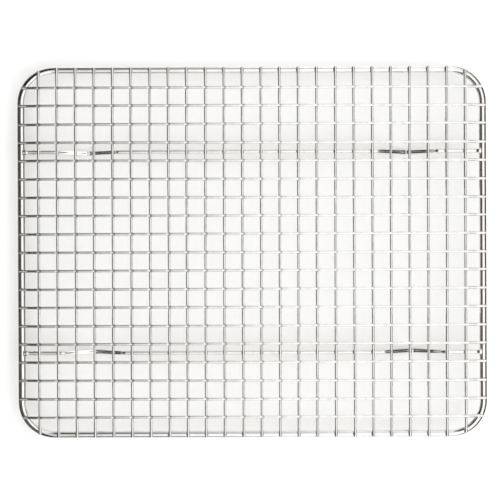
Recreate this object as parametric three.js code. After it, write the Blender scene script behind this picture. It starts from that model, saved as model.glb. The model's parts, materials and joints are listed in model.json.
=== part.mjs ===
// Footed wire cooling rack: a welded mesh of thin wires laid on a heavier rim, which
// stands on two foot wires, each bent down into a pair of V-shaped feet.
// Millimetres, +Z up. The origin lies on the table, under the middle of the rack.
// +X runs along the rack's long sides, and +Y runs from its front to its back.

import * as THREE from 'three';

// ---- Driving dimensions ----

const RACK_LENGTH = 254;
const RACK_WIDTH = 201.5;
const RACK_HEIGHT = 19;

const RIM_WIRE = 4;
const MESH_WIRE = 1.6;
const FOOT_WIRE = 2.4;

const RIM_CORNER_RADIUS = 20; // to the outside of the rim

const LENGTHWISE_WIRES = 19;
const CROSSWISE_WIRES = 24;
const MESH_MARGIN = 11.65; // from the rim's outside to the outermost mesh wires
const END_TRIM = 0.6; // mesh wires are cut this far inside the rim's outside

const SET_DOWN_ANGLE = 18; // degrees: how steeply a lengthwise wire drops onto the rim
const SET_DOWN_BEND = 3; // centreline radius of those two small bends
const SET_DOWN_START = 0.5; // from the outermost crosswise wire to where the drop begins

const FOOT_WIRE_PITCHES = 5.5; // a foot wire lies midway between two lengthwise wires
const FOOT_SPACING = 173.5; // between the two feet of one wire
const FRONT_FOOT_SHIFT = 0.6; // both feet of the front wire sit a touch to the right
const REAR_FOOT_SHIFT = - 2.7; // both feet of the rear wire sit a little to the left
const FOOT_LEG_ANGLE = 43; // degrees below level
const FOOT_TOP_BEND = 2.5; // centreline radius where a leg leaves the level run
const FOOT_TOE_BEND = 3; // centreline radius at the bottom of the V
const FOOT_TOE_FLAT = 1.5; // short level run that rests on the table

const WELD_GAP = 0.02; // keeps welded neighbours separate solids where one lies on another
const END_GAP = 0.05; // the same, where a foot wire's end meets the rim's inner side

// ---- How finely round shapes are faceted ----

const RIM_SIDES = 12;
const WIRE_SIDES = 8;
const RIM_CORNER_STEPS = 10;
const SET_DOWN_STEPS = 2;
const FOOT_BEND_STEPS = 4;

// ---- Worked-out sizes ----

const DEGREE = Math.PI / 180;
const QUARTER_TURN = Math.PI / 2;
const X_AXIS = new THREE.Vector3( 1, 0, 0 );
const Y_AXIS = new THREE.Vector3( 0, 1, 0 );
const Z_AXIS = new THREE.Vector3( 0, 0, 1 );

const LENGTHWISE_PITCH = ( RACK_WIDTH - 2 * MESH_MARGIN ) / ( LENGTHWISE_WIRES - 1 );
const CROSSWISE_PITCH = ( RACK_LENGTH - 2 * MESH_MARGIN ) / ( CROSSWISE_WIRES - 1 );

const LENGTHWISE_Z = RACK_HEIGHT - MESH_WIRE / 2;
const CROSSWISE_Z = LENGTHWISE_Z - MESH_WIRE - WELD_GAP;
const CROSSWISE_UNDERSIDE = CROSSWISE_Z - MESH_WIRE / 2;
const RIM_Z = CROSSWISE_UNDERSIDE - WELD_GAP - RIM_WIRE / 2;
const FOOT_WIRE_Z = CROSSWISE_UNDERSIDE - WELD_GAP - FOOT_WIRE / 2;

const FOOT_WIRE_Y = FOOT_WIRE_PITCHES * LENGTHWISE_PITCH;
const FOOT_WIRE_END = RACK_LENGTH / 2 - RIM_WIRE - END_GAP;

// The joggle that takes a lengthwise wire from its own level down onto the rim.
const SET_DOWN = setDownShape();

// The V of one foot.
const FOOT = footShape();

function setDownShape() {

	const angle = SET_DOWN_ANGLE * DEGREE;
	const drop = LENGTHWISE_Z - CROSSWISE_Z;
	const dropInBends = 2 * SET_DOWN_BEND * ( 1 - Math.cos( angle ) );
	const slope = ( drop - dropInBends ) / Math.sin( angle );
	const run = 2 * SET_DOWN_BEND * Math.sin( angle ) + slope * Math.cos( angle );
	return { angle, slope, run };

}

function footShape() {

	const angle = FOOT_LEG_ANGLE * DEGREE;
	const bends = FOOT_TOP_BEND + FOOT_TOE_BEND;
	const depth = FOOT_WIRE_Z - FOOT_WIRE / 2;
	const leg = ( depth - bends * ( 1 - Math.cos( angle ) ) ) / Math.sin( angle );
	const halfWidth = bends * Math.sin( angle ) + leg * Math.cos( angle ) + FOOT_TOE_FLAT / 2;
	return { angle, leg, halfWidth };

}

// ---- Wires ----

// A wire's path through the bending former, marked by stations that hold a point and a
// direction. It starts along `forward` and its bends turn it towards `left`.
class FormedPath {

	constructor( start, forward, left ) {

		this.point = start.clone();
		this.heading = 0;
		this.forward = forward;
		this.left = left;
		this.stations = [];
		this.mark();

	}

	direction( heading = this.heading ) {

		const along = this.forward.clone().multiplyScalar( Math.cos( heading ) );
		return along.addScaledVector( this.left, Math.sin( heading ) );

	}

	mark() {

		this.stations.push( { point: this.point.clone(), direction: this.direction() } );

	}

	straight( length ) {

		this.point.addScaledVector( this.direction(), length );
		this.mark();
		return this;

	}

	// A round bend; a negative angle turns away from `left`.
	bend( radius, angle, steps ) {

		const offset = radius * Math.sign( angle );
		const start = this.heading;
		const centre = this.point.clone();
		centre.addScaledVector( this.direction( start + QUARTER_TURN ), offset );
		for ( let step = 1; step <= steps; step ++ ) {

			this.heading = start + angle * step / steps;
			const outwards = this.direction( this.heading - QUARTER_TURN );
			this.point.copy( centre ).addScaledVector( outwards, offset );
			this.mark();

		}

		return this;

	}

}

// The three.js curve that a formed wire is swept along, with one section at each station.
// `side` is square to the plane that the wire is bent in. Each section is turned by half
// a facet, so that a facet faces `side` and another lies square to it.
class WireCentreline extends THREE.Curve {

	constructor( stations, side, sides ) {

		super();
		this.stations = stations;
		this.side = side;
		this.halfFacet = Math.PI / sides;

	}

	getPointAt( fraction ) {

		const count = this.stations.length;
		return this.stations[ Math.round( fraction * count ) % count ].point;

	}

	getSpacedPoints() {

		return this.stations.map( ( station ) => station.point );

	}

	computeFrenetFrames() {

		const tangents = this.stations.map( ( station ) => station.direction );
		const turned = ( vector, tangent ) => vector.applyAxisAngle( tangent, this.halfFacet );
		const across = ( tangent ) => this.side.clone().cross( tangent );
		const normals = tangents.map( ( tangent ) => turned( across( tangent ), tangent ) );
		const binormals = tangents.map( ( tangent ) => turned( this.side.clone(), tangent ) );
		return { tangents, normals, binormals };

	}

}

// The radius of a section's corners, which puts its facets at the wire's own radius.
function cornerRadius( wireDiameter, sides ) {

	return wireDiameter / 2 / Math.cos( Math.PI / sides );

}

function wireSection( wireDiameter, sides ) {

	const radius = cornerRadius( wireDiameter, sides );
	const corners = [];
	for ( let corner = 0; corner < sides; corner ++ ) {

		const angle = corner * 2 * Math.PI / sides;
		corners.push( new THREE.Vector2( radius * Math.cos( angle ), radius * Math.sin( angle ) ) );

	}

	return new THREE.Shape( corners );

}

function bentWireGeometry( path, side, wireDiameter ) {

	return new THREE.ExtrudeGeometry( wireSection( wireDiameter, WIRE_SIDES ), {
		extrudePath: new WireCentreline( path.stations, side, WIRE_SIDES ),
		steps: path.stations.length - 1,
	} );

}

// A straight wire along Y, with a facet facing straight up.
function straightWireGeometry( wireDiameter, length ) {

	const radius = cornerRadius( wireDiameter, WIRE_SIDES );
	const halfFacet = Math.PI / WIRE_SIDES;
	return new THREE.CylinderGeometry( radius, radius, length, WIRE_SIDES, 1, false, halfFacet );

}

// ---- Materials ----

function brightChrome( color, roughness ) {

	return new THREE.MeshStandardMaterial( { color, roughness, metalness: 1 } );

}

function rimMaterial() {

	return brightChrome( 0xd8d7d4, 0.12 );

}

function meshMaterial() {

	return brightChrome( 0xcfcecb, 0.2 );

}

function footMaterial() {

	return brightChrome( 0xd3d2cf, 0.16 );

}

// ---- Pieces ----

function namedMesh( name, geometry, material ) {

	const mesh = new THREE.Mesh( geometry, material );
	mesh.name = name;
	return mesh;

}

// The rim is one closed loop, so its sweep has no ends to cap.
function rim() {

	const corner = RIM_CORNER_RADIUS - RIM_WIRE / 2;
	const longSide = RACK_LENGTH - 2 * RIM_CORNER_RADIUS;
	const shortSide = RACK_WIDTH - 2 * RIM_CORNER_RADIUS;
	const front = ( RIM_WIRE - RACK_WIDTH ) / 2;
	const path = new FormedPath( new THREE.Vector3( longSide / 2, front, RIM_Z ), X_AXIS, Y_AXIS );
	for ( const nextSide of [ shortSide, longSide, shortSide, longSide ] ) {

		path.bend( corner, QUARTER_TURN, RIM_CORNER_STEPS );
		path.straight( nextSide );

	}

	path.stations.pop(); // the last station is the first one again
	const centreline = new WireCentreline( path.stations, Z_AXIS, RIM_SIDES );
	const steps = path.stations.length;
	const radius = cornerRadius( RIM_WIRE, RIM_SIDES );
	const geometry = new THREE.TubeGeometry( centreline, steps, radius, RIM_SIDES, true );
	return namedMesh( 'perimeter_frame', geometry, rimMaterial() );

}

// How far a mesh wire reaches from the middle: to just inside the rim's outside, which
// curves in at the corners. `offset` is the wire's distance from the rack's middle line,
// `halfAcross` is half the rack's size that way, and `halfAlong` half its size along the wire.
function meshWireReach( offset, halfAcross, halfAlong ) {

	const intoCorner = Math.abs( offset ) - ( halfAcross - RIM_CORNER_RADIUS );
	if ( intoCorner <= 0 ) return halfAlong - END_TRIM;
	const chord = Math.sqrt( RIM_CORNER_RADIUS ** 2 - intoCorner ** 2 );
	return halfAlong - RIM_CORNER_RADIUS + chord - END_TRIM;

}

// A lengthwise wire lies over the crosswise ones, and its ends are set down onto the rim.
function lengthwiseWire( index ) {

	const y = ( index - ( LENGTHWISE_WIRES - 1 ) / 2 ) * LENGTHWISE_PITCH;
	const reach = meshWireReach( y, RACK_WIDTH / 2, RACK_LENGTH / 2 );
	const upper = RACK_LENGTH / 2 - MESH_MARGIN + SET_DOWN_START;
	const lower = reach - upper - SET_DOWN.run;
	const path = new FormedPath( new THREE.Vector3( - reach, y, CROSSWISE_Z ), X_AXIS, Z_AXIS );
	path.straight( lower );
	path.bend( SET_DOWN_BEND, SET_DOWN.angle, SET_DOWN_STEPS );
	path.straight( SET_DOWN.slope );
	path.bend( SET_DOWN_BEND, - SET_DOWN.angle, SET_DOWN_STEPS );
	path.straight( 2 * upper );
	path.bend( SET_DOWN_BEND, - SET_DOWN.angle, SET_DOWN_STEPS );
	path.straight( SET_DOWN.slope );
	path.bend( SET_DOWN_BEND, SET_DOWN.angle, SET_DOWN_STEPS );
	path.straight( lower );
	const side = Y_AXIS.clone().negate();
	const geometry = bentWireGeometry( path, side, MESH_WIRE );
	return namedMesh( numbered( 'lengthwise_wire', index ), geometry, meshMaterial() );

}

// A crosswise wire is straight: it lies on the rim and on both foot wires.
function crosswiseWire( index ) {

	const x = ( index - ( CROSSWISE_WIRES - 1 ) / 2 ) * CROSSWISE_PITCH;
	const reach = meshWireReach( x, RACK_LENGTH / 2, RACK_WIDTH / 2 );
	const geometry = straightWireGeometry( MESH_WIRE, 2 * reach );
	const wire = namedMesh( numbered( 'crosswise_wire', index ), geometry, meshMaterial() );
	wire.position.set( x, 0, CROSSWISE_Z );
	return wire;

}

function bendFoot( path ) {

	path.bend( FOOT_TOP_BEND, - FOOT.angle, FOOT_BEND_STEPS );
	path.straight( FOOT.leg );
	path.bend( FOOT_TOE_BEND, FOOT.angle, FOOT_BEND_STEPS );
	path.straight( FOOT_TOE_FLAT );
	path.bend( FOOT_TOE_BEND, FOOT.angle, FOOT_BEND_STEPS );
	path.straight( FOOT.leg );
	path.bend( FOOT_TOP_BEND, - FOOT.angle, FOOT_BEND_STEPS );

}

// A foot wire runs the rack's length under the mesh, butted against the rim at both ends.
function footWire( name, y, shift ) {

	const footReach = FOOT_SPACING / 2 + FOOT.halfWidth;
	const start = new THREE.Vector3( - FOOT_WIRE_END, y, FOOT_WIRE_Z );
	const path = new FormedPath( start, X_AXIS, Z_AXIS );
	path.straight( FOOT_WIRE_END - footReach + shift );
	bendFoot( path );
	path.straight( FOOT_SPACING - 2 * FOOT.halfWidth );
	bendFoot( path );
	path.straight( FOOT_WIRE_END - footReach - shift );
	const geometry = bentWireGeometry( path, Y_AXIS.clone().negate(), FOOT_WIRE );
	return namedMesh( name, geometry, footMaterial() );

}

// Wires are numbered from 01, from the front backwards or from the left to the right.
function numbered( name, index ) {

	return `${ name }_${ String( index + 1 ).padStart( 2, '0' ) }`;

}

// ---- The rack ----

function coolingRack() {

	const rack = new THREE.Group();
	rack.add( rim() );
	rack.add( footWire( 'foot_wire_front', - FOOT_WIRE_Y, FRONT_FOOT_SHIFT ) );
	rack.add( footWire( 'foot_wire_rear', FOOT_WIRE_Y, REAR_FOOT_SHIFT ) );
	for ( let index = 0; index < CROSSWISE_WIRES; index ++ ) rack.add( crosswiseWire( index ) );
	for ( let index = 0; index < LENGTHWISE_WIRES; index ++ ) rack.add( lengthwiseWire( index ) );
	return rack;

}

export default coolingRack();
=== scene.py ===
"""A chrome wire cooling rack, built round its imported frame, with its stage, lights and camera."""

import json
import math
import random

import bmesh
import bpy
from bpy.props import FloatProperty, FloatVectorProperty, IntProperty, PointerProperty
from mathutils import Matrix, Vector


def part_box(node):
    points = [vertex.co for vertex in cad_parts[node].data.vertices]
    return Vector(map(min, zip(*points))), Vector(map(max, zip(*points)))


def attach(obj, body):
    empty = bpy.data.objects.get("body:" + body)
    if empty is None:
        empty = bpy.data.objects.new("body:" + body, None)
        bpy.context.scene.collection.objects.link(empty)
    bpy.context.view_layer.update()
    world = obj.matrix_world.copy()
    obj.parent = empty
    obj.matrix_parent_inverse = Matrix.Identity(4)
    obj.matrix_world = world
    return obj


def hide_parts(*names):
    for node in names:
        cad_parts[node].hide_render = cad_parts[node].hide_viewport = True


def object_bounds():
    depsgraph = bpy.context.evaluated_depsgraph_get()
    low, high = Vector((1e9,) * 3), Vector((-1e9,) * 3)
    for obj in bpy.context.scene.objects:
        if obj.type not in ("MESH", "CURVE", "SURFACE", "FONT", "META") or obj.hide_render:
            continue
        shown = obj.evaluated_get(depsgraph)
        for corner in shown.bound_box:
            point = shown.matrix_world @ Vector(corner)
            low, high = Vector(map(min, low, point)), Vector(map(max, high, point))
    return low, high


bl_info = {
    "name": "Cooling Rack",
    "version": (1, 0, 0),
    "blender": (4, 5, 0),
    "location": "View3D > Sidebar > Cooling Rack",
    "description": "Builds a footed wire cooling rack in bright chrome, with its stage",
    "category": "Object",
}

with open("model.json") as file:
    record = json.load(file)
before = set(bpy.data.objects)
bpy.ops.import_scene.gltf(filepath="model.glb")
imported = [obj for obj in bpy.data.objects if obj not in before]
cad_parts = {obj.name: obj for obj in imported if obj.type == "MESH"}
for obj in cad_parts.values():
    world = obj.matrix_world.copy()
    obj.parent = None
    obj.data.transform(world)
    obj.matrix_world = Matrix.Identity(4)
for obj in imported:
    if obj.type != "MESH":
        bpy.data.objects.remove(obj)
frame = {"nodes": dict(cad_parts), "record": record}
CAD_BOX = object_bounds()

# ---- What the frame says ----

BODY = "root"
RIM_NODE = "perimeter_frame"
FOOT_NODES = {"front": "foot_wire_front", "rear": "foot_wire_rear"}
CROSSWISE_NODES = sorted(name for name in frame["nodes"] if name.startswith("crosswise_wire_"))
LENGTHWISE_NODES = sorted(name for name in frame["nodes"] if name.startswith("lengthwise_wire_"))

RIGHT = Vector((1, 0, 0))
BACK = Vector((0, 1, 0))
UP = Vector((0, 0, 1))


def middle(node):
    """The middle of a node's box."""
    low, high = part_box(node)
    return (low + high) / 2


def spread(node):
    """The size of a node's box."""
    low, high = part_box(node)
    return high - low


def reach(node):
    """How far a node's box reaches to the right, to the back and up."""
    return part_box(node)[1]


CROSSWISE_X = [middle(node).x for node in CROSSWISE_NODES]
LENGTHWISE_Y = [middle(node).y for node in LENGTHWISE_NODES]
CROSSWISE_Z = middle(CROSSWISE_NODES[0]).z
RIM_Z = middle(RIM_NODE).z


# ---- Sizes and finishes that a user may change ----


def length(name, description, default):
    """A setting in metres."""
    return FloatProperty(
        name=name, description=description, default=default, min=0, precision=5,
        subtype="DISTANCE", unit="LENGTH",
    )


def angle(name, description, degrees):
    """A setting that is an angle, with its default in degrees."""
    return FloatProperty(
        name=name, description=description, default=math.radians(degrees),
        subtype="ANGLE", unit="ROTATION",
    )


def share(name, description, default):
    """A setting from none, 0, to all, 1."""
    return FloatProperty(
        name=name, description=description, default=default, min=0, max=1, subtype="FACTOR",
    )


def colour(name, description, default):
    """A setting that is a colour. A light may be stronger than 1."""
    return FloatVectorProperty(
        name=name, description=description, default=default, size=3, min=0, max=4,
        subtype="COLOR",
    )


class RackSizes(bpy.types.PropertyGroup):
    """Thicknesses of the rack's wires, and the bends and welds that are put in them."""

    rim_wire: length("Rim wire", "Thickness of the wire round the rack", spread(RIM_NODE).z)
    rim_corner: length("Rim corner", "Outside radius of the rim's corners", 0.020)
    mesh_wire: length("Mesh wire", "Thickness of the mesh wires", spread(CROSSWISE_NODES[0]).z)
    foot_wire: length("Foot wire", "Thickness of the foot wires", spread(FOOT_NODES["front"]).y)

    set_down_angle: angle("Set-down angle", "Slope of a lengthwise wire down to the rim", 18)
    set_down_bend: length("Set-down bend", "Radius of the bends at that slope", 0.003)
    set_down_start: length("Set-down start", "From the last crossing to that slope", 0.0005)

    leg_angle: angle("Leg angle", "Slope of a foot's legs below level", 43)
    top_bend: length("Top bend", "Radius where a leg leaves the level run", 0.0025)
    toe_bend: length("Toe bend", "Radius at the bottom of a foot", 0.003)
    toe_flat: length("Toe flat", "Short level run that rests on the table", 0.0015)

    end_round: length("End round", "Rounding of a trimmed wire's end", 0.00018)
    mark_length: length("Electrode mark", "Length of the dent that welding leaves", 0.0011)
    mark_run_out: length("Mark run-out", "Length over which that dent fades out", 0.0006)
    mark_depth: share("Mark depth", "Share of the wire's thickness pressed away", 0.04)
    bead_reach: length("Weld bead reach", "How far a weld bead spreads from a crossing", 0.00100)
    bead_height: length("Weld bead height", "Half the height of a weld bead", 0.00034)
    collar_length: length("Weld collar", "Length of the weld at a foot wire's end", 0.0014)
    collar_swell: share("Collar swell", "How much thicker that weld is than the wire", 0.55)

    rim_sides: IntProperty(name="Rim sides", description="Facets round the rim wire", default=28)
    wire_sides: IntProperty(name="Wire sides", description="Facets round a mesh wire", default=16)
    corner_steps: IntProperty(name="Corner steps", description="Sections in a corner", default=24)
    bend_steps: IntProperty(name="Bend steps", description="Sections in a small bend", default=6)

    wander_place: length("Wander", "Most that a mesh wire lies off its place", 0.0001)
    wander_lean: length("Lean", "Most that a mesh wire's end leans aside", 0.0002)
    wander_bow: length("Bow", "Most that a mesh wire bows aside", 0.00012)
    wander_seed: IntProperty(name="Seed", description="Picks the mesh wires' wander", default=7)


class RackFinish(bpy.types.PropertyGroup):
    """Colours and polish of the plated wires and their welds."""

    chrome: colour("Chrome", "Colour of the bright plating", (0.87, 0.86, 0.845))
    chrome_dull: colour("Dull chrome", "Colour of the hazed plating", (0.77, 0.76, 0.745))
    straw: colour("Heat tint", "Straw tint beside a weld", (0.60, 0.51, 0.42))
    weld: colour("Weld metal", "Colour of the weld beads", (0.60, 0.58, 0.56))
    polish: share("Polish", "Roughness of the brightest plating", 0.045)
    haze: share("Haze", "Roughness where the plating has hazed", 0.13)


class StudioSettings(bpy.types.PropertyGroup):
    """The floor, the lights and the camera."""

    floor: colour("Floor", "Colour of the pale floor", (0.93, 0.93, 0.925))
    floor_size: length("Floor size", "Side of the floor", 24.0)
    floor_drop: length("Floor drop", "How far the floor lies under the feet", 0.00002)
    key_strength: FloatProperty(
        name="Key light", description="Strength of the soft key light", default=1.78,
    )
    key_softness: angle("Key softness", "Angle that the key light fills", 70)
    fill_power: FloatProperty(
        name="Fill light", description="Power of the soft box at the right", default=1.9,
    )
    surround_strength: FloatProperty(
        name="Surround", description="Strength of the surround", default=1.4,
    )
    dark: colour("Dark surround", "The studio's unlit side and dark cards", (0.050, 0.034, 0.027))
    side_card_gap: length("Side card gap", "From the rack to the dark cards beside it", 0.004)
    side_card_side: length("Side card size", "Side of each of those square cards", 0.5)
    side_card_rise: length("Side card rise", "How far they lie above the floor", 0.0005)
    rim_card_gap: length("Rim card gap", "From the rim to the dark strip inside it", 0.0045)
    rim_card_low: length("Rim card low edge", "Height of that strip's lower edge", 0.0125)
    rim_card_clear: length("Rim card clearance", "From that strip up to the mesh", 0.0002)
    foot_card_width: length("Foot card width", "Width of the small cards beside a foot", 0.018)
    foot_card_height: length("Foot card height", "Height of the small cards beside a foot", 0.0125)
    foot_card_gap: length("Foot card gap", "From a foot wire's middle to those cards", 0.0014)
    camera_place: FloatVectorProperty(
        name="Camera place", description="Where the camera stands", size=3,
        default=(0.0032, 0.00497, 1.01475), subtype="TRANSLATION", unit="LENGTH", precision=5,
    )
    camera_turn: FloatVectorProperty(
        name="Camera turn", description="How the camera is turned from straight down", size=3,
        default=[math.radians(turn) for turn in (-0.2224, 0.2475, -0.2377)], subtype="EULER",
        precision=5,
    )
    lens: FloatProperty(
        name="Lens", description="Focal length", default=132.84, min=1, subtype="DISTANCE_CAMERA",
    )


# ---- Small helpers ----

BOX_SLACK = 0.00001  # how far rounding may take a piece past the CAD model's box


def deselect_all():
    """Leaves edit mode, if it is on, and selects nothing."""
    if bpy.context.object and bpy.context.object.mode != "OBJECT":
        bpy.ops.object.mode_set(mode="OBJECT")
    bpy.ops.object.select_all(action="DESELECT")


def make_active(piece):
    """Selects this piece and no other."""
    deselect_all()
    piece.select_set(True)
    bpy.context.view_layer.objects.active = piece


def select_vertices(piece, wanted):
    """Selects, in edit mode, the vertices whose place passes the test."""
    mesh = bmesh.from_edit_mesh(piece.data)
    bpy.ops.mesh.select_all(action="DESELECT")
    for vertex in mesh.verts:
        vertex.select = wanted(vertex.co)
    mesh.select_flush_mode()
    bmesh.update_edit_mesh(piece.data)


def copy_piece(piece, name, shift):
    """A copy with its own mesh, moved by the shift."""
    make_active(piece)
    bpy.ops.object.duplicate(linked=False)
    copy = bpy.context.object
    copy.name = name
    copy.data.name = name
    bpy.ops.transform.translate(value=shift)
    bpy.ops.object.transform_apply(location=True, rotation=True, scale=True)
    return copy


def join_pieces(pieces, name):
    """Makes one piece of many."""
    make_active(pieces[0])
    for piece in pieces:
        piece.select_set(True)
    bpy.ops.object.join()
    joined = bpy.context.object
    joined.name = name
    joined.data.name = name
    return joined


def finish_piece(piece, material, slot, *nodes):
    """Gives a piece its finish and its body, and checks that it keeps to the CAD model's box."""
    piece.data.materials.clear()
    piece.data.materials.append(material)
    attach(piece, BODY)
    if nodes:
        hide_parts(*nodes)
    low, high = CAD_BOX
    for corner in piece.bound_box:
        for axis in range(3):
            if not low[axis] - BOX_SLACK <= corner[axis] <= high[axis] + BOX_SLACK:
                raise RuntimeError(f"{piece.name} leaves the rack's box at {list(corner)}")


# ---- Drawing wire ----

SHORT_SECTION = 0.00025  # length of the short section at each end of a straight run
UNSPLIT_RUN = 6 * SHORT_SECTION  # a run up to this length is drawn in one section
MEETING_GAP = 0.00001  # how near the two ends of a closed wire have to meet
SHARP_EDGE = math.radians(40)  # edges shade smooth up to this angle
END_ROUND_SEGMENTS = 2


class DrawnWire:
    """A wire that is drawn out section by section, from a ring of edges at its first end."""

    def __init__(self, name, thickness, place, heading, sides):
        deselect_all()
        bpy.ops.mesh.primitive_circle_add(
            vertices=sides, radius=thickness / 2, fill_type="NOTHING", location=place,
            rotation=heading.to_track_quat("Z", "Y").to_euler(),
        )
        bpy.ops.object.transform_apply(location=True, rotation=True, scale=True)
        self.piece = bpy.context.object
        self.piece.name = name
        self.piece.data.name = name
        self.place = place.copy()
        self.heading = heading.copy()
        self.drawn = 0.0
        bpy.ops.object.mode_set(mode="EDIT")
        bpy.ops.mesh.select_all(action="SELECT")
        self.start_layers()

    def start_layers(self):
        """Starts the two layers that the finish reads: the straightened wire, and weld heat."""
        mesh = bmesh.from_edit_mesh(self.piece.data)
        straightened = mesh.verts.layers.float_vector.new("straightened")
        mesh.verts.layers.float.new("weld_heat")
        across = self.heading.orthogonal().normalized()
        upwards = self.heading.cross(across)
        for vertex in mesh.verts:
            offset = vertex.co - self.place
            vertex[straightened] = (0.0, offset.dot(across), offset.dot(upwards))
        bmesh.update_edit_mesh(self.piece.data)

    def mark(self, heat):
        """Notes on the newest section how much wire has been drawn, and the weld heat there."""
        mesh = bmesh.from_edit_mesh(self.piece.data)
        straightened = mesh.verts.layers.float_vector["straightened"]
        weld_heat = mesh.verts.layers.float["weld_heat"]
        for vertex in mesh.verts:
            if vertex.select:
                across = vertex[straightened]
                vertex[straightened] = (self.drawn, across[1], across[2])
                vertex[weld_heat] = heat

    def straight(self, run, heat=0.0):
        """A straight run. A long one has a short section at each end, to keep its shading true."""
        parts = [run]
        if run > UNSPLIT_RUN:
            parts = [SHORT_SECTION, run - 2 * SHORT_SECTION, SHORT_SECTION]
        for part in parts:
            step = self.heading * part
            bpy.ops.mesh.extrude_region_move(TRANSFORM_OT_translate={"value": step})
            self.place += step
            self.drawn += part
            self.mark(heat)

    def square(self, way):
        """The direction nearest to a way that is square to the heading."""
        return (way - self.heading * way.dot(self.heading)).normalized()

    def bend(self, turn, radius, towards, steps):
        """A round bend towards a direction that is square to the heading."""
        axis = self.heading.cross(towards)
        centre = self.place + towards * radius
        step = Matrix.Rotation(turn / steps, 3, axis)
        for _ in range(steps):
            # mesh.spin counts a turn the other way about its axis
            bpy.ops.mesh.spin(steps=1, angle=-turn / steps, center=centre, axis=axis)
            self.place = centre + step @ (self.place - centre)
            self.heading = step @ self.heading
            self.drawn += radius * turn / steps
            self.mark(0.0)

    def resize(self, value, centre):
        """Stretches or squeezes the newest section about a centre."""
        bpy.ops.transform.resize(value=value, center_override=centre)

    def cap_ends(self, end_round=0.0):
        """Closes both ends, and may round them as a trimmed and plated wire's are."""
        bpy.ops.mesh.select_mode(type="EDGE")
        bpy.ops.mesh.select_all(action="DESELECT")
        bpy.ops.mesh.select_non_manifold(
            extend=False, use_wire=False, use_boundary=True, use_multi_face=False,
            use_non_contiguous=False, use_verts=False,
        )
        bpy.ops.mesh.edge_face_add()
        if end_round > 0:
            bpy.ops.mesh.bevel(offset=end_round, segments=END_ROUND_SEGMENTS, affect="EDGES")

    def close_loop(self):
        """Joins the last section to the first."""
        bpy.ops.mesh.select_all(action="SELECT")
        bpy.ops.mesh.remove_doubles(threshold=MEETING_GAP)

    def finish(self):
        """Turns the faces outwards, shades the wire and hands it over."""
        bpy.ops.mesh.select_mode(type="VERT")
        bpy.ops.mesh.select_all(action="SELECT")
        bpy.ops.mesh.normals_make_consistent(inside=False)
        bpy.ops.object.mode_set(mode="OBJECT")
        make_active(self.piece)
        bpy.ops.object.shade_smooth_by_angle(angle=SHARP_EDGE)
        return self.piece


def draw_past_crossings(wire, start, crossings, stop, sizes, pressed_from):
    """A level run, with a shallow dent from the welding electrode at each crossing.

    All places are measured along the wire. The dent is in the side that is pressed from.
    """
    across = wire.heading.cross(UP)
    thinner = 1 - sizes.mark_depth
    wider = 1 + sizes.mark_depth / 2
    squeeze = Vector([abs(a) * wider + abs(h) + abs(u) * thinner
                      for a, h, u in zip(across, wire.heading, UP)])
    release = Vector([1 / factor for factor in squeeze])
    half_mark = sizes.mark_length / 2
    held = -pressed_from * sizes.mesh_wire / 2
    done = start
    for crossing in crossings:
        wire.straight(crossing - half_mark - sizes.mark_run_out - done)
        wire.straight(sizes.mark_run_out, heat=1.0)
        wire.resize(squeeze, wire.place + held)
        wire.straight(sizes.mark_length, heat=1.0)
        wire.straight(sizes.mark_run_out)
        wire.resize(release, wire.place + held)
        done = crossing + half_mark + sizes.mark_run_out
    wire.straight(stop - done)


# ---- Finishes ----

# Patterns: how many to the metre, how much fine detail, and how rough it is
RIM_HAZE = (120, 4, 0.6)
FOOT_WIRE_HAZE = (150, 4, 0.6)
MESH_WIRE_HAZE = (210, 4, 0.6)
DRAWING_LINES = (1, 3, 0.65)  # on the straightened wire, stretched
WELD_PATCHES = (420, 3, 0.5)
WELD_GRAIN = (3200, 4, 0.6)
FLOOR_TOOTH = (900, 3, 0.5)

# Sockets of a Mix node that mixes colours
FIRST_COLOUR, SECOND_COLOUR, MIXED_COLOUR = 6, 7, 2

# Ranges of a pattern over which a look comes in
DULL_OVER = (0.42, 0.72)
HAZE_OVER = (0.30, 0.75)
WELD_STRAW_OVER = (0.45, 0.75)
WELD_ROUGH_OVER = (0.3, 0.7)

STRAW_SHARE = 0.12  # most straw tint beside a weld
WELD_STRAW_SHARE = 0.7  # most straw tint on a weld bead
WELD_ROUGHNESS = (0.16, 0.36)
DRAWING_LINE_STRETCH = (60, 5200, 5200)  # lines to the metre, along and across the wire
DRAWING_LINE_STRENGTH, DRAWING_LINE_DEPTH = 0.35, 0.000004
WELD_GRAIN_STRENGTH, WELD_GRAIN_DEPTH = 0.5, 0.00003
FLOOR_ROUGHNESS = 0.9
FLOOR_SHINE = 0.1
FLOOR_TOOTH_SHADE = 0.985  # brightness of the floor's tooth against the floor's own


def new_material(name):
    """A material with its nodes and links."""
    material = bpy.data.materials.new(name)
    material.use_nodes = True
    return material, material.node_tree.nodes, material.node_tree.links


def place_on_piece(nodes):
    """A point's place on its own object."""
    return nodes.new("ShaderNodeTexCoord").outputs["Object"]


def noise(nodes, links, vector, pattern):
    """A pattern of scale, detail and roughness, read at the vector."""
    texture = nodes.new("ShaderNodeTexNoise")
    for socket, number in zip(("Scale", "Detail", "Roughness"), pattern):
        texture.inputs[socket].default_value = number
    links.new(vector, texture.inputs["Vector"])
    return texture.outputs["Fac"]


def mapped(nodes, links, value, over, to=(0, 1)):
    """Maps one range of a value to another, and holds it at the ends."""
    spread_out = nodes.new("ShaderNodeMapRange")
    for socket, number in zip(("From Min", "From Max", "To Min", "To Max"), (*over, *to)):
        spread_out.inputs[socket].default_value = number
    links.new(value, spread_out.inputs["Value"])
    return spread_out.outputs["Result"]


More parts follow.
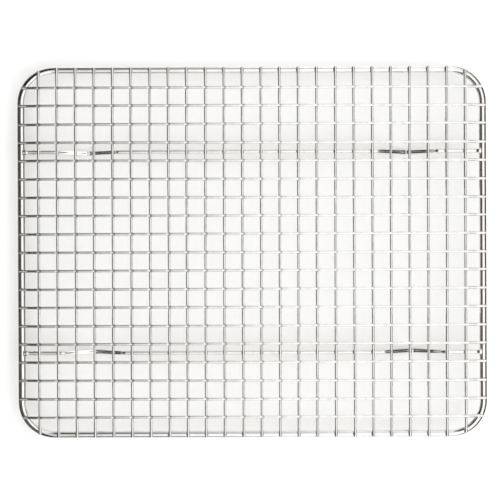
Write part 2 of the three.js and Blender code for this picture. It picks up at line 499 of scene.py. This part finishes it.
def mixed(nodes, links, factor, first, second, way="MIX"):
    """A blend of two colours, each a socket or a plain colour."""
    mix = nodes.new("ShaderNodeMix")
    mix.data_type = "RGBA"
    mix.blend_type = way
    links.new(factor, mix.inputs["Factor"])
    for socket, value in ((mix.inputs[FIRST_COLOUR], first), (mix.inputs[SECOND_COLOUR], second)):
        if isinstance(value, bpy.types.NodeSocket):
            links.new(value, socket)
        else:
            socket.default_value = (*value, 1)
    return mix.outputs[MIXED_COLOUR]


def add_bump(nodes, links, shader, height, strength, depth):
    """Raises and lowers a surface a little by a pattern."""
    bump = nodes.new("ShaderNodeBump")
    bump.inputs["Strength"].default_value = strength
    bump.inputs["Distance"].default_value = depth
    links.new(height, bump.inputs["Height"])
    links.new(bump.outputs["Normal"], shader.inputs["Normal"])


def bright_chrome(name, finish, haze_pattern):
    """Plated wire: nearly a mirror, hazed here and there, with faint drawing lines."""
    material, nodes, links = new_material(name)
    shader = nodes["Principled BSDF"]
    shader.inputs["Metallic"].default_value = 1.0

    haze = noise(nodes, links, place_on_piece(nodes), haze_pattern)
    smudges = mapped(nodes, links, haze, DULL_OVER)
    plated = mixed(nodes, links, smudges, finish.chrome, finish.chrome_dull)

    heat = nodes.new("ShaderNodeAttribute")
    heat.attribute_name = "weld_heat"
    tint_amount = mapped(nodes, links, heat.outputs["Fac"], (0, 1), (0, STRAW_SHARE))
    tinted = mixed(nodes, links, tint_amount, plated, finish.straw)
    links.new(tinted, shader.inputs["Base Color"])
    polish = mapped(nodes, links, haze, HAZE_OVER, (finish.polish, finish.haze))
    links.new(polish, shader.inputs["Roughness"])

    straightened = nodes.new("ShaderNodeAttribute")
    straightened.attribute_name = "straightened"
    stretch = nodes.new("ShaderNodeMapping")
    stretch.inputs["Scale"].default_value = DRAWING_LINE_STRETCH
    links.new(straightened.outputs["Vector"], stretch.inputs["Vector"])
    lines = noise(nodes, links, stretch.outputs["Vector"], DRAWING_LINES)
    add_bump(nodes, links, shader, lines, DRAWING_LINE_STRENGTH, DRAWING_LINE_DEPTH)
    return material


def weld_metal(name, finish):
    """Weld beads: plated with the rest, but frosted, with a straw tint here and there."""
    material, nodes, links = new_material(name)
    shader = nodes["Principled BSDF"]
    shader.inputs["Metallic"].default_value = 1.0
    place = place_on_piece(nodes)
    patches = noise(nodes, links, place, WELD_PATCHES)
    tint = mapped(nodes, links, patches, WELD_STRAW_OVER, (0, WELD_STRAW_SHARE))
    links.new(mixed(nodes, links, tint, finish.weld, finish.straw), shader.inputs["Base Color"])
    grain = noise(nodes, links, place, WELD_GRAIN)
    rough = mapped(nodes, links, grain, WELD_ROUGH_OVER, WELD_ROUGHNESS)
    links.new(rough, shader.inputs["Roughness"])
    add_bump(nodes, links, shader, grain, WELD_GRAIN_STRENGTH, WELD_GRAIN_DEPTH)
    return material


def pale_floor(name, studio):
    """A matt white sheet with the faintest tooth."""
    material, nodes, links = new_material(name)
    shader = nodes["Principled BSDF"]
    shader.inputs["Roughness"].default_value = FLOOR_ROUGHNESS
    shader.inputs["Specular IOR Level"].default_value = FLOOR_SHINE
    tooth = noise(nodes, links, place_on_piece(nodes), FLOOR_TOOTH)
    shade = [FLOOR_TOOTH_SHADE * channel for channel in studio.floor]
    links.new(mixed(nodes, links, tooth, studio.floor, shade), shader.inputs["Base Color"])
    return material


# ---- Pieces ----

FOOT_WIRE_MORE_SIDES = 4  # facets that a foot wire has over a mesh wire
COLLAR_RUNS = (0.45, 0.30, 0.25)  # shares of the weld's length, from the wire to the rim
COLLAR_SWELLS = (0.18, 0.50, 1.0)  # share of the swell that each of them reaches
COLLAR_BURIED = 0.25  # share of the rim wire's thickness that the weld runs into it
BOW_GRIP = 20  # a mesh wire is bowed by the middle twentieth of its length
BEAD_SEGMENTS, BEAD_RINGS = 8, 6
BEAD_CORNERS_FROM = 1 / 3  # share of a bead's reach, past which its corners are drawn out
BEAD_CORNER_STRETCH = 1.16


class COOLINGRACK_OT_rim_wire(bpy.types.Operator):
    """Draws the heavy wire round the rack and closes it into a loop"""

    bl_idname = "cooling_rack.rim_wire"
    bl_label = "Rim Wire"

    def execute(self, context):
        sizes = context.scene.rack_sizes
        corner = sizes.rim_corner - sizes.rim_wire / 2
        half = reach(RIM_NODE)
        half_long = half.x - sizes.rim_corner
        half_short = half.y - sizes.rim_corner
        start = Vector((0, sizes.rim_wire / 2 - half.y, RIM_Z))
        wire = DrawnWire("rim_wire", sizes.rim_wire, start, RIGHT, sizes.rim_sides)
        wire.straight(half_long)
        for side in (half_short, half_long, half_short):
            wire.bend(math.pi / 2, corner, UP.cross(wire.heading), sizes.corner_steps)
            wire.straight(2 * side)
        wire.bend(math.pi / 2, corner, UP.cross(wire.heading), sizes.corner_steps)
        wire.straight(half_long)
        wire.close_loop()
        piece = wire.finish()
        chrome = bright_chrome("rim_chrome", context.scene.rack_finish, RIM_HAZE)
        finish_piece(piece, chrome, "frame_wire", RIM_NODE)
        return {"FINISHED"}


def draw_foot(wire, sizes, leg):
    """One V-shaped foot: down, a short flat toe, and up again."""
    wire.bend(sizes.leg_angle, sizes.top_bend, wire.square(-UP), sizes.bend_steps)
    wire.straight(leg)
    wire.bend(sizes.leg_angle, sizes.toe_bend, wire.square(UP), sizes.bend_steps)
    wire.straight(sizes.toe_flat)
    wire.bend(sizes.leg_angle, sizes.toe_bend, wire.square(UP), sizes.bend_steps)
    wire.straight(leg)
    wire.bend(sizes.leg_angle, sizes.top_bend, wire.square(-UP), sizes.bend_steps)


def foot_places(side):
    """Where the two feet of a foot wire stand, from the frame's own mounts."""
    return sorted(
        mount["pos_m"][0] for mount in frame["record"]["mounts"]
        if mount["name"].startswith(side) and mount["name"].endswith("_foot")
    )


def foot_shape(sizes):
    """Length of a foot's straight leg, and half the foot's width."""
    bends = sizes.top_bend + sizes.toe_bend
    depth = foot_level(sizes) - sizes.foot_wire / 2
    leg = (depth - bends * (1 - math.cos(sizes.leg_angle))) / math.sin(sizes.leg_angle)
    half_width = (bends * math.sin(sizes.leg_angle) + leg * math.cos(sizes.leg_angle)
                  + sizes.toe_flat / 2)
    return leg, half_width


def foot_level(sizes):
    """Height of a foot wire's level run."""
    return reach(FOOT_NODES["front"]).z - sizes.foot_wire / 2


class COOLINGRACK_OT_foot_wires(bpy.types.Operator):
    """Draws the two foot wires, each bent into two feet and welded to the rim at both ends"""

    bl_idname = "cooling_rack.foot_wires"
    bl_label = "Foot Wires"

    def draw_collar(self, wire, sizes, opening):
        """The weld at a wire's end, which swells towards the rim."""
        runs = COLLAR_RUNS
        girths = [1.0, *(1 + sizes.collar_swell * swell for swell in COLLAR_SWELLS)]
        if opening:
            runs, girths = runs[::-1], girths[::-1]
            wire.resize((1, girths[0], girths[0]), wire.place)
            wire.straight(self.buried(sizes), heat=1.0)
        for run, before, after in zip(runs, girths, girths[1:]):
            wire.straight(run * sizes.collar_length, heat=1.0)
            wire.resize((1, after / before, after / before), wire.place)
        if not opening:
            wire.straight(self.buried(sizes), heat=1.0)

    def buried(self, sizes):
        """How far the weld runs into the rim."""
        return sizes.rim_wire * COLLAR_BURIED

    def execute(self, context):
        sizes = context.scene.rack_sizes
        chrome = bright_chrome("foot_chrome", context.scene.rack_finish, FOOT_WIRE_HAZE)
        leg, half_width = foot_shape(sizes)
        sides = sizes.wire_sides + FOOT_WIRE_MORE_SIDES
        for side, node in FOOT_NODES.items():
            end = reach(node).x
            left_foot, right_foot = foot_places(side)
            start = Vector((-end - self.buried(sizes), middle(node).y, foot_level(sizes)))
            wire = DrawnWire(f"{side}_foot_wire", sizes.foot_wire, start, RIGHT, sides)
            self.draw_collar(wire, sizes, True)
            wire.straight(left_foot - half_width - wire.place.x)
            draw_foot(wire, sizes, leg)
            wire.straight(right_foot - half_width - wire.place.x)
            draw_foot(wire, sizes, leg)
            wire.straight(end - sizes.collar_length - wire.place.x)
            self.draw_collar(wire, sizes, False)
            wire.cap_ends()
            finish_piece(wire.finish(), chrome, "foot_wire", node)
        return {"FINISHED"}


def spring(piece, along, across, lean, bow, half_length):
    """Leans and bows a straight mesh wire by the little that welding leaves it."""
    make_active(piece)
    bpy.ops.object.mode_set(mode="EDIT")
    corners = [Vector(corner) for corner in piece.bound_box]
    centre = sum(corners, Vector()) / len(corners)
    near = half_length / BOW_GRIP
    select_vertices(piece, lambda place: abs((place - centre).dot(along)) < near)
    bpy.ops.transform.translate(
        value=across * bow, use_proportional_edit=True, proportional_edit_falloff="SMOOTH",
        proportional_size=half_length,
    )
    bpy.ops.mesh.select_all(action="SELECT")
    bpy.ops.transform.rotate(value=lean / half_length, orient_axis="Z", center_override=centre)
    bpy.ops.object.mode_set(mode="OBJECT")


def mesh_wires(context, kind, nodes, draw_pattern, along, across, seed):
    """Draws a full and an outermost wire, and puts a copy, with its own wander, at each node."""
    sizes = context.scene.rack_sizes
    chrome = bright_chrome(f"{kind}_chrome", context.scene.rack_finish, MESH_WIRE_HAZE)
    full = draw_pattern(f"{kind}_pattern", sizes, reach(nodes[1]).dot(along))
    outer = draw_pattern(f"{kind}_outer", sizes, reach(nodes[0]).dot(along))
    chooser = random.Random(seed)
    made = []
    for number, node in enumerate(nodes, 1):
        outermost = node in (nodes[0], nodes[-1])
        off = 0.0 if outermost else chooser.uniform(-1, 1) * sizes.wander_place
        shift = across * (middle(node).dot(across) + off)
        piece = copy_piece(outer if outermost else full, f"{kind}_{number:02d}", shift)
        lean = chooser.uniform(-1, 1) * sizes.wander_lean
        bow = chooser.uniform(-1, 1) * sizes.wander_bow
        spring(piece, along, across, lean, bow, reach(node).dot(along))
        made.append((piece, node))
    bpy.data.objects.remove(full)
    bpy.data.objects.remove(outer)
    for piece, node in made:
        finish_piece(piece, chrome, "mesh_wire", node)


class COOLINGRACK_OT_crosswise_wires(bpy.types.Operator):
    """Draws the straight wires that lie across the rack, on the rim and the foot wires"""

    bl_idname = "cooling_rack.crosswise_wires"
    bl_label = "Crosswise Wires"

    def draw_pattern(self, name, sizes, end):
        """A wire on the rack's middle line, to be copied, that reaches as far as its end each way."""
        start = Vector((0, -end, CROSSWISE_Z))
        wire = DrawnWire(name, sizes.mesh_wire, start, BACK, sizes.wire_sides)
        draw_past_crossings(wire, -end, LENGTHWISE_Y, end, sizes, -UP)
        wire.cap_ends(sizes.end_round)
        return wire.finish()

    def execute(self, context):
        seed = context.scene.rack_sizes.wander_seed
        mesh_wires(context, "crosswise", CROSSWISE_NODES, self.draw_pattern, BACK, RIGHT, seed)
        return {"FINISHED"}


class COOLINGRACK_OT_lengthwise_wires(bpy.types.Operator):
    """Draws the wires that run the rack's length, over the others and down onto the rim"""

    bl_idname = "cooling_rack.lengthwise_wires"
    bl_label = "Lengthwise Wires"

    def draw_pattern(self, name, sizes, end):
        """A wire on the rack's middle line, to be copied, with its ends set down on the rim."""
        turn = sizes.set_down_angle
        upper = CROSSWISE_X[-1] + sizes.set_down_start
        drop = reach(LENGTHWISE_NODES[0]).z - sizes.mesh_wire / 2 - CROSSWISE_Z
        slope = (drop - 2 * sizes.set_down_bend * (1 - math.cos(turn))) / math.sin(turn)
        run = 2 * sizes.set_down_bend * math.sin(turn) + slope * math.cos(turn)
        lower = end - upper - run
        start = Vector((-end, 0, CROSSWISE_Z))
        wire = DrawnWire(name, sizes.mesh_wire, start, RIGHT, sizes.wire_sides)

        def joggle(way):
            """A bend one way, the slope, and the same bend back."""
            wire.bend(turn, sizes.set_down_bend, wire.square(way), sizes.bend_steps)
            wire.straight(slope)
            wire.bend(turn, sizes.set_down_bend, wire.square(-way), sizes.bend_steps)

        wire.straight(lower)
        joggle(UP)
        draw_past_crossings(wire, -upper, CROSSWISE_X, upper, sizes, UP)
        joggle(-UP)
        wire.straight(lower)
        wire.cap_ends(sizes.end_round)
        return wire.finish()

    def execute(self, context):
        seed = context.scene.rack_sizes.wander_seed + 1
        mesh_wires(context, "lengthwise", LENGTHWISE_NODES, self.draw_pattern, RIGHT, BACK, seed)
        return {"FINISHED"}


class COOLINGRACK_OT_welds(bpy.types.Operator):
    """Puts a weld bead wherever one wire is welded on another"""

    bl_idname = "cooling_rack.welds"
    bl_label = "Welds"

    def make_bead(self, name, sizes, place):
        """A small cushion of weld metal that reaches into the corners between two wires."""
        deselect_all()
        bpy.ops.mesh.primitive_uv_sphere_add(
            segments=BEAD_SEGMENTS, ring_count=BEAD_RINGS, radius=1, location=(0, 0, 0),
        )
        bead = bpy.context.object
        bead.name = name
        bpy.ops.object.mode_set(mode="EDIT")
        bpy.ops.mesh.select_all(action="SELECT")
        size = (sizes.bead_reach, sizes.bead_reach, sizes.bead_height)
        bpy.ops.transform.resize(value=size, center_override=(0, 0, 0))
        edge = sizes.bead_reach * BEAD_CORNERS_FROM
        select_vertices(bead, lambda at: abs(at.x) > edge and abs(at.y) > edge)
        stretch = (BEAD_CORNER_STRETCH, BEAD_CORNER_STRETCH, 1)
        bpy.ops.transform.resize(value=stretch, center_override=(0, 0, 0))
        bpy.ops.mesh.select_all(action="SELECT")
        bpy.ops.transform.translate(value=place)
        bpy.ops.object.mode_set(mode="OBJECT")
        make_active(bead)
        bpy.ops.object.shade_smooth()
        return bead

    def repeat(self, bead, count, step):
        """A row of beads, one step apart."""
        make_active(bead)
        array = bead.modifiers.new("repeat", "ARRAY")
        array.count = count
        array.use_relative_offset = False
        array.use_constant_offset = True
        array.constant_offset_displace = step
        bpy.ops.object.modifier_apply(modifier=array.name)

    def mesh_beads(self, sizes):
        """A bead at every crossing of the mesh."""
        height = CROSSWISE_Z + sizes.mesh_wire / 2
        place = Vector((CROSSWISE_X[0], LENGTHWISE_Y[0], height))
        bead = self.make_bead("mesh_welds", sizes, place)
        pitch_x = (CROSSWISE_X[-1] - CROSSWISE_X[0]) / (len(CROSSWISE_X) - 1)
        pitch_y = (LENGTHWISE_Y[-1] - LENGTHWISE_Y[0]) / (len(LENGTHWISE_Y) - 1)
        self.repeat(bead, len(CROSSWISE_X), RIGHT * pitch_x)
        self.repeat(bead, len(LENGTHWISE_Y), BACK * pitch_y)
        return bead

    def rim_line(self, sizes, offset, half_across, half_along):
        """How far out the rim's middle line is, at an offset from the rack's middle."""
        corner = sizes.rim_corner - sizes.rim_wire / 2
        into_corner = abs(offset) - (half_across - sizes.rim_corner)
        if into_corner <= 0:
            return half_along - sizes.rim_wire / 2
        return half_along - sizes.rim_corner + math.sqrt(corner ** 2 - into_corner ** 2)

    def rim_beads(self, sizes):
        """A bead at both ends of every mesh wire, on top of the rim."""
        half = reach(RIM_NODE)
        height = RIM_Z + sizes.rim_wire / 2
        places = []
        for x in CROSSWISE_X:
            y = self.rim_line(sizes, x, half.x, half.y)
            places += [Vector((x, y, height)), Vector((x, -y, height))]
        for y in LENGTHWISE_Y:
            x = self.rim_line(sizes, y, half.y, half.x)
            places += [Vector((x, y, height)), Vector((-x, y, height))]
        return self.beads_at("rim_welds", sizes, places)

    def foot_beads(self, sizes):
        """A bead wherever a crosswise wire lies on the level run of a foot wire."""
        _, half_width = foot_shape(sizes)
        height = CROSSWISE_Z - sizes.mesh_wire / 2
        places = []
        for side, node in FOOT_NODES.items():
            feet = foot_places(side)
            for x in CROSSWISE_X:
                if all(abs(x - foot) > half_width for foot in feet):
                    places.append(Vector((x, middle(node).y, height)))
        return self.beads_at("foot_welds", sizes, places)

    def beads_at(self, name, sizes, places):
        """One piece that has a bead at each place."""
        pattern = self.make_bead(name + "_pattern", sizes, Vector())
        beads = [copy_piece(pattern, name, place) for place in places]
        bpy.data.objects.remove(pattern)
        return join_pieces(beads, name)

    def execute(self, context):
        sizes = context.scene.rack_sizes
        metal = weld_metal("weld_metal", context.scene.rack_finish)
        finish_piece(self.mesh_beads(sizes), metal, "mesh_wire")
        finish_piece(self.rim_beads(sizes), metal, "frame_wire")
        finish_piece(self.foot_beads(sizes), metal, "foot_wire")
        return {"FINISHED"}


# ---- Stage ----

WHITE = (1, 1, 1, 1)
KEY_PLACE = (0.6, -0.2, 1.5)
KEY_TURN = (math.radians(6), math.radians(4), 0)
FILL_PLACE = Vector((0.75, -0.1, 0.55))
FILL_SIDE = 0.5
UPRIGHT = (0, math.pi / 2, 0)  # turn of a card that faces left and right
FOOT_CARD_OFFSET = 0.0002  # from a foot's middle to the cards that face each way
NEAREST_SEEN = 0.01  # the camera sees nothing nearer than this

# The surround's tones, each at an angle from straight up in degrees. None is the dark colour.
TONES_SIDEWAYS = (
    (-120, None), (-54, None), (-48, 0.16), (-39, 0.16), (-33, None), (-20, None),
    (-12, 0.22), (-4, 0.8), (1, 1.0), (46, 1.0),
    (58, 0.6), (67, 0.25), (74, None), (100, None), (108, 0.8),
)
TONES_FRONT_TO_BACK = (
    (-104, 0.9), (-97, 0.12), (-78, 0.12), (-72, 0.7), (-66, 0.3), (-57, 0.3),
    (-50, 1.0), (-14, 1.0), (0, 0.85), (14, 0.55), (21, 0.3), (28, None), (55, None),
    (63, 1.0), (80, 1.0), (88, 0.5), (96, 0.5), (104, 0.9),
)
# Share that the front-to-back tones have in the surround, over these angles from left to right
FADE_OVER = (math.radians(-9), math.radians(6))
FADE_SHARES = (1.0, 0.35)


def ramp(nodes, links, value, tones, dark):
    """A ramp over an angle in degrees, from stops of an angle and a brightness."""
    table = nodes.new("ShaderNodeValToRGB")
    links.new(mapped(nodes, links, value, (-math.pi, math.pi)), table.inputs["Fac"])
    elements = table.color_ramp.elements
    while len(elements) > 1:
        elements.remove(elements[-1])
    for index, (degrees, tone) in enumerate(tones):
        place = (degrees + 180) / 360
        element = elements[0] if index == 0 else elements.new(place)
        element.position = place
        element.color = (*dark, 1) if tone is None else (tone, tone, tone, 1)
    return table.outputs["Color"]


class COOLINGRACK_OT_stage(bpy.types.Operator):
    """Sets the pale floor, the soft lights, what the chrome mirrors, and the camera"""

    bl_idname = "cooling_rack.stage"
    bl_label = "Stage"

    def add_floor(self, studio):
        deselect_all()
        place = (0, 0, -studio.floor_drop)
        bpy.ops.mesh.primitive_plane_add(size=studio.floor_size, location=place)
        floor = bpy.context.object
        floor.name = "floor"
        floor.data.materials.append(pale_floor("pale_floor", studio))

    def add_key_light(self, studio):
        bpy.ops.object.light_add(type="SUN", location=KEY_PLACE)
        key = bpy.context.object
        key.name = "key_light"
        key.data.energy = studio.key_strength
        key.data.angle = studio.key_softness
        key.rotation_euler = KEY_TURN
        key.visible_glossy = False

    def add_fill_light(self, studio):
        bpy.ops.object.light_add(type="AREA", location=FILL_PLACE)
        fill = bpy.context.object
        fill.name = "fill_light"
        fill.data.energy = studio.fill_power
        fill.data.size = FILL_SIDE
        fill.rotation_euler = FILL_PLACE.to_track_quat("Z", "Y").to_euler()
        fill.visible_glossy = False

    def add_card(self, name, material, place, turn, width, height):
        """A card that only the chrome mirrors: a painted reflection, unseen by the camera, that
        neither lights nor shades anything.
        """
        deselect_all()
        bpy.ops.mesh.primitive_plane_add(size=1, location=place, rotation=turn)
        card = bpy.context.object
        card.name = name
        bpy.ops.transform.resize(value=(width, height, 1), orient_type="LOCAL")
        card.data.materials.append(material)
        card.visible_camera = False
        card.visible_diffuse = False
        card.visible_shadow = False

    def painted_dark_reflection(self, studio):
        # Painted reflection: a matt dark colour, seen only in the chrome, that stands in for dark
        # surroundings and shade mirrored there.
        material, nodes, _ = new_material("painted_dark_reflection")
        shader = nodes["Principled BSDF"]
        shader.inputs["Base Color"].default_value = (*studio.dark, 1)
        shader.inputs["Roughness"].default_value = 1.0
        shader.inputs["Specular IOR Level"].default_value = 0.0
        return material

    def painted_light_reflection(self):
        # Painted reflection: a card that glows only for the chrome and lights nothing, standing in
        # for lit floor beside the feet.
        material, nodes, _ = new_material("painted_light_reflection")
        shader = nodes["Principled BSDF"]
        shader.inputs["Emission Color"].default_value = WHITE
        shader.inputs["Emission Strength"].default_value = 1.0
        return material

    def add_side_cards(self, dark, studio):
        """The two dark cards that lie on the floor beside the rack: painted dark reflections in the
        rim's outer side, which cast no shade.
        """
        side = studio.side_card_side
        away = reach(RIM_NODE).x + studio.side_card_gap + side / 2
        for name, way in (("left_card", -1), ("right_card", 1)):
            self.add_card(name, dark, (way * away, 0, studio.side_card_rise), (0, 0, 0), side, side)

    def add_rim_card(self, dark, sizes, studio):
        """The dark strip that stands just inside the rim's left side, under the mesh: painted shade,
        a dark reflection in the rim that stands in for the shaded undersides of the mesh.
        """
        half = reach(RIM_NODE)
        low = studio.rim_card_low
        high = CROSSWISE_Z - sizes.mesh_wire / 2 - studio.rim_card_clear
        place = (sizes.rim_wire + studio.rim_card_gap - half.x, 0, (low + high) / 2)
        straight_side = 2 * (half.y - sizes.rim_corner)
        self.add_card("rim_card", dark, place, UPRIGHT, high - low, straight_side)

    def add_foot_cards(self, dark, light, studio):
        """Small cards in front of and behind each foot, one that faces left and one right. They are
        painted reflections in the legs: the dark ones stand in for the shaded floor under the mesh,
        and the glowing ones beside the left feet stand in for lit floor.
        """
        height, width = studio.foot_card_height, studio.foot_card_width
        for side, node in FOOT_NODES.items():
            for foot in foot_places(side):
                faces_left = light if foot < 0 else dark
                for facing, material in ((-1, faces_left), (1, dark)):
                    for way in (-1, 1):
                        x = foot + facing * FOOT_CARD_OFFSET
                        y = middle(node).y + way * (studio.foot_card_gap + width / 2)
                        place = (x, y, height / 2)
                        self.add_card("foot_card", material, place, UPRIGHT, height, width)

    def surround(self, context, studio):
        """The studio that the chrome mirrors: the left unlit, the top and the right bright.

        The camera itself sees plain white past the floor.
        """
        world = bpy.data.worlds.new("studio")
        context.scene.world = world
        world.use_nodes = True
        nodes, links = world.node_tree.nodes, world.node_tree.links
        background = nodes["Background"]
        background.inputs["Strength"].default_value = studio.surround_strength
        axes = nodes.new("ShaderNodeSeparateXYZ")
        links.new(nodes.new("ShaderNodeTexCoord").outputs["Generated"], axes.inputs["Vector"])

        def lean(axis):
            """The angle from straight up towards an axis."""
            angle_node = nodes.new("ShaderNodeMath")
            angle_node.operation = "ARCTAN2"
            links.new(axes.outputs[axis], angle_node.inputs[0])
            links.new(axes.outputs["Z"], angle_node.inputs[1])
            return angle_node.outputs["Value"]

        to_the_right = lean("X")
        sideways = ramp(nodes, links, to_the_right, TONES_SIDEWAYS, studio.dark)
        front_to_back = ramp(nodes, links, lean("Y"), TONES_FRONT_TO_BACK, studio.dark)
        fade = mapped(nodes, links, to_the_right, FADE_OVER, FADE_SHARES)
        tones = mixed(nodes, links, fade, sideways, front_to_back, "MULTIPLY")

        plain = nodes.new("ShaderNodeBackground")
        plain.inputs["Color"].default_value = WHITE
        seen = nodes.new("ShaderNodeLightPath").outputs["Is Camera Ray"]
        choose = nodes.new("ShaderNodeMixShader")
        links.new(tones, background.inputs["Color"])
        links.new(seen, choose.inputs["Fac"])
        links.new(background.outputs["Background"], choose.inputs[1])
        links.new(plain.outputs["Background"], choose.inputs[2])
        links.new(choose.outputs["Shader"], nodes["World Output"].inputs["Surface"])

    def add_camera(self, context, studio):
        bpy.ops.object.camera_add(location=studio.camera_place, rotation=studio.camera_turn)
        camera = bpy.context.object
        camera.name = "camera"
        camera.data.lens = studio.lens
        camera.data.clip_start = NEAREST_SEEN
        context.scene.camera = camera

    def execute(self, context):
        studio = context.scene.rack_studio
        self.add_floor(studio)
        self.add_key_light(studio)
        self.add_fill_light(studio)
        dark, light = self.painted_dark_reflection(studio), self.painted_light_reflection()
        self.add_side_cards(dark, studio)
        self.add_rim_card(dark, context.scene.rack_sizes, studio)
        self.add_foot_cards(dark, light, studio)
        self.surround(context, studio)
        self.add_camera(context, studio)
        context.scene.view_settings.view_transform = "Standard"
        context.scene.view_settings.look = "None"
        return {"FINISHED"}


# ---- Add-on ----

OPERATORS = (
    COOLINGRACK_OT_rim_wire,
    COOLINGRACK_OT_foot_wires,
    COOLINGRACK_OT_crosswise_wires,
    COOLINGRACK_OT_lengthwise_wires,
    COOLINGRACK_OT_welds,
    COOLINGRACK_OT_stage,
)


class COOLINGRACK_PT_panel(bpy.types.Panel):
    """Lists the rack's pieces and its stage"""

    bl_idname = "COOLINGRACK_PT_panel"
    bl_label = "Cooling Rack"
    bl_space_type = "VIEW_3D"
    bl_region_type = "UI"
    bl_category = "Cooling Rack"

    def draw(self, context):
        for operator in OPERATORS:
            self.layout.operator(operator.bl_idname)
        for group in ("rack_sizes", "rack_finish", "rack_studio"):
            box = self.layout.box()
            settings = getattr(context.scene, group)
            for name in settings.__annotations__:
                box.prop(settings, name)


CLASSES = (RackSizes, RackFinish, StudioSettings, *OPERATORS, COOLINGRACK_PT_panel)


def register():
    for cls in CLASSES:
        bpy.utils.register_class(cls)
    bpy.types.Scene.rack_sizes = PointerProperty(type=RackSizes)
    bpy.types.Scene.rack_finish = PointerProperty(type=RackFinish)
    bpy.types.Scene.rack_studio = PointerProperty(type=StudioSettings)


def unregister():
    del bpy.types.Scene.rack_studio
    del bpy.types.Scene.rack_finish
    del bpy.types.Scene.rack_sizes
    for cls in reversed(CLASSES):
        bpy.utils.unregister_class(cls)


def main():
    """Builds every piece and the stage."""
    register()
    bpy.ops.cooling_rack.rim_wire()
    bpy.ops.cooling_rack.foot_wires()
    bpy.ops.cooling_rack.crosswise_wires()
    bpy.ops.cooling_rack.lengthwise_wires()
    bpy.ops.cooling_rack.welds()
    bpy.ops.cooling_rack.stage()


if __name__ == "__main__":
    main()
